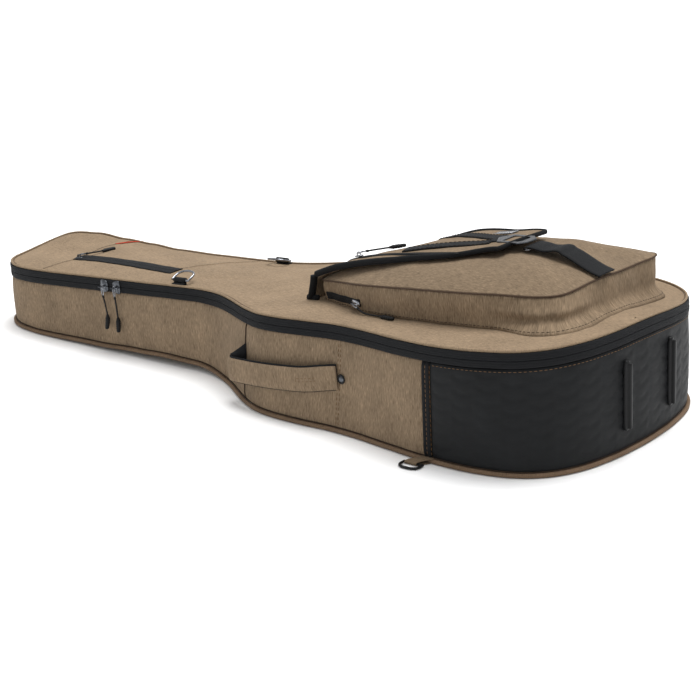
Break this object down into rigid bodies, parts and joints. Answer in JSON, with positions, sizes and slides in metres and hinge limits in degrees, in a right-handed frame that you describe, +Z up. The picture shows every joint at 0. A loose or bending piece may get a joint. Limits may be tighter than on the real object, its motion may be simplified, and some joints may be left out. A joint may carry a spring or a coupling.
{
  "type": "padded gig bag",
  "caption": "Padded guitar gig bag lying on its back: zipped tray and lid, accessory pocket with buckled flap, side handle, strap rings and rubber-railed bumper end.",
  "frame": {"origin": "on the floor under the middle of the bag", "axes": "+X from the head end to the tail end with the bumper, -Y to the side with the carrying handle, +Z up through the lid"},
  "size_m": [1.182, 0.5036, 0.2474],
  "materials": {
    "canvas": "heathered tan woven polyester, matte",
    "canvas_trim": "darker tan woven fabric, matte",
    "zip_tape": "black water-repellent coil zip, satin",
    "webbing": "black ribbed webbing, matte",
    "bumper": "black grained leather-look wrap, satin",
    "rail_rubber": "moulded black rubber, matte",
    "lining": "soft grey plush lining",
    "foam": "grey closed-cell padding, unseen",
    "ribbon": "red woven ribbon",
    "bright_metal": "polished nickel",
    "dark_metal": "gunmetal plating",
    "pull_cord": "black moulded grip on black cord"
  },
  "bodies": {
    "shell": {"back_panel": "canvas_trim", "back_piping": "canvas_trim", "floor_lining": "lining", "wall_foam_near": "foam", "wall_foam_far": "foam", "neck_gusset": "canvas", "waist_gusset_near": "canvas", "waist_gusset_far": "canvas", "seam_tape_near": "webbing", "seam_tape_far": "webbing", "bumper_wrap": "bumper", "lower_zip_tape": "zip_tape", "bumper_rail_near": "rail_rubber", "bumper_rail_far": "rail_rubber", "neck_cradle": "lining", "cradle_strap": "webbing", "handle_stud": "bright_metal", "ring_tab_near": "canvas", "ring_tab_far": "canvas"},
    "lid": {"lid_lining": "lining", "lid_foam": "foam", "lid_panel": "canvas", "lid_piping": "canvas_trim", "upper_zip_tape": "zip_tape", "ring_keeper_near": "webbing", "ring_keeper_far": "webbing", "head_pocket_zip": "zip_tape", "side_ribbon": "ribbon", "pocket_wall": "canvas", "pocket_face": "canvas", "pocket_piping": "canvas_trim", "pocket_zip_tape": "zip_tape", "flap_riser": "canvas", "strap_hook": "bright_metal", "tail_strap": "webbing"},
    "flap": {"flap_panel": "canvas", "flap_binding": "webbing", "flap_strap_near": "webbing", "flap_strap_far": "webbing", "flap_zip_tape": "zip_tape", "badge_plate": "bright_metal", "buckle_frame": "dark_metal"},
    "handle": {"handle_strap": "canvas", "handle_lining": "webbing"},
    "rear_ring_near": {"rear_ring_near": "dark_metal"},
    "rear_ring_far": {"rear_ring_far": "dark_metal"},
    "front_ring_near": {"front_ring_near": "bright_metal"},
    "front_ring_far": {"front_ring_far": "bright_metal"},
    "main_slider_head": {"main_slider_head": "dark_metal"},
    "main_slider_tail": {"main_slider_tail": "dark_metal"},
    "main_pull_head": {"main_pull_head": "pull_cord"},
    "main_pull_tail": {"main_pull_tail": "pull_cord"},
    "head_slider": {"head_slider": "dark_metal"},
    "head_pull": {"head_pull": "pull_cord"},
    "pocket_slider": {"pocket_slider": "bright_metal"},
    "pocket_pull": {"pocket_pull": "pull_cord"},
    "flap_slider": {"flap_slider": "bright_metal"},
    "flap_pull": {"flap_pull": "pull_cord"}
  },
  "joints": [
    {"name": "lid_hinge", "type": "hinge", "parent": "shell", "child": "lid", "pos_m": [0, 0.2195, 0.1237], "axis": [-0.9982, 0, -0.0605], "range_deg": [0, 165]},
    {"name": "flap_hinge", "type": "hinge", "parent": "lid", "child": "flap", "pos_m": [0.10133, 0, 0.17913], "axis": [0, -1, 0], "range_deg": [0, 130]},
    {"name": "handle_swing", "type": "hinge", "parent": "shell", "child": "handle", "pos_m": [0.124, -0.178, 0.06175], "axis": [0.9887, -0.1099, 0.1016], "range_deg": [-10, 10]},
    {"name": "rear_ring_near_hinge", "type": "hinge", "parent": "shell", "child": "rear_ring_near", "pos_m": [0.373, -0.233, 0.0021], "axis": [-1, 0, 0], "range_deg": [0, 85]},
    {"name": "rear_ring_far_hinge", "type": "hinge", "parent": "shell", "child": "rear_ring_far", "pos_m": [0.373, 0.233, 0.0021], "axis": [1, 0, 0], "range_deg": [0, 85]},
    {"name": "front_ring_near_hinge", "type": "hinge", "parent": "lid", "child": "front_ring_near", "pos_m": [-0.16185, -0.088, 0.13293], "axis": [0.9982, 0, 0.0605], "range_deg": [0, 110]},
    {"name": "front_ring_far_hinge", "type": "hinge", "parent": "lid", "child": "front_ring_far", "pos_m": [-0.11195, 0.088, 0.13595], "axis": [-0.9982, 0, -0.0605], "range_deg": [0, 120]},
    {"name": "main_slide_head", "type": "slide", "parent": "shell", "child": "main_slider_head", "axis": [-0.9982, 0, -0.0605], "range_m": [0, 0.105]},
    {"name": "main_slide_tail", "type": "slide", "parent": "shell", "child": "main_slider_tail", "axis": [0.9982, 0, 0.0605], "range_m": [0, 0.1]},
    {"name": "main_pull_head_hinge", "type": "hinge", "parent": "main_slider_head", "child": "main_pull_head", "pos_m": [-0.31108, -0.1076, 0.09784], "axis": [-0.9982, 0, -0.0605], "range_deg": [0, 150]},
    {"name": "main_pull_tail_hinge", "type": "hinge", "parent": "main_slider_tail", "child": "main_pull_tail", "pos_m": [-0.28508, -0.1076, 0.09941], "axis": [-0.9982, 0, -0.0605], "range_deg": [0, 150]},
    {"name": "head_slide", "type": "slide", "parent": "lid", "child": "head_slider", "axis": [0.9956, -0.0718, 0.0603], "range_m": [0, 0.19]},
    {"name": "head_pull_hinge", "type": "hinge", "parent": "head_slider", "child": "head_pull", "pos_m": [-0.44236, -0.0251, 0.11963], "axis": [0.9493, -0.309, 0.0575], "range_deg": [0, 150]},
    {"name": "pocket_slide", "type": "slide", "parent": "lid", "child": "pocket_slider", "axis": [-0.9388, 0.3399, -0.0569], "range_m": [0, 0.055]},
    {"name": "pocket_pull_hinge", "type": "hinge", "parent": "pocket_slider", "child": "pocket_pull", "pos_m": [0.20155, -0.12724, 0.15745], "axis": [-0.3392, -0.9405, -0.0206], "range_deg": [0, 150]},
    {"name": "flap_slide", "type": "slide", "parent": "flap", "child": "flap_slider", "axis": [0.9125, -0.319, 0.2561], "range_m": [0, 0.045]},
    {"name": "flap_pull_hinge", "type": "hinge", "parent": "flap_slider", "child": "flap_pull", "pos_m": [0.15495, -0.0537, 0.21227], "axis": [0.4155, -0.8941, 0.1672], "range_deg": [0, 90]}
  ]
}
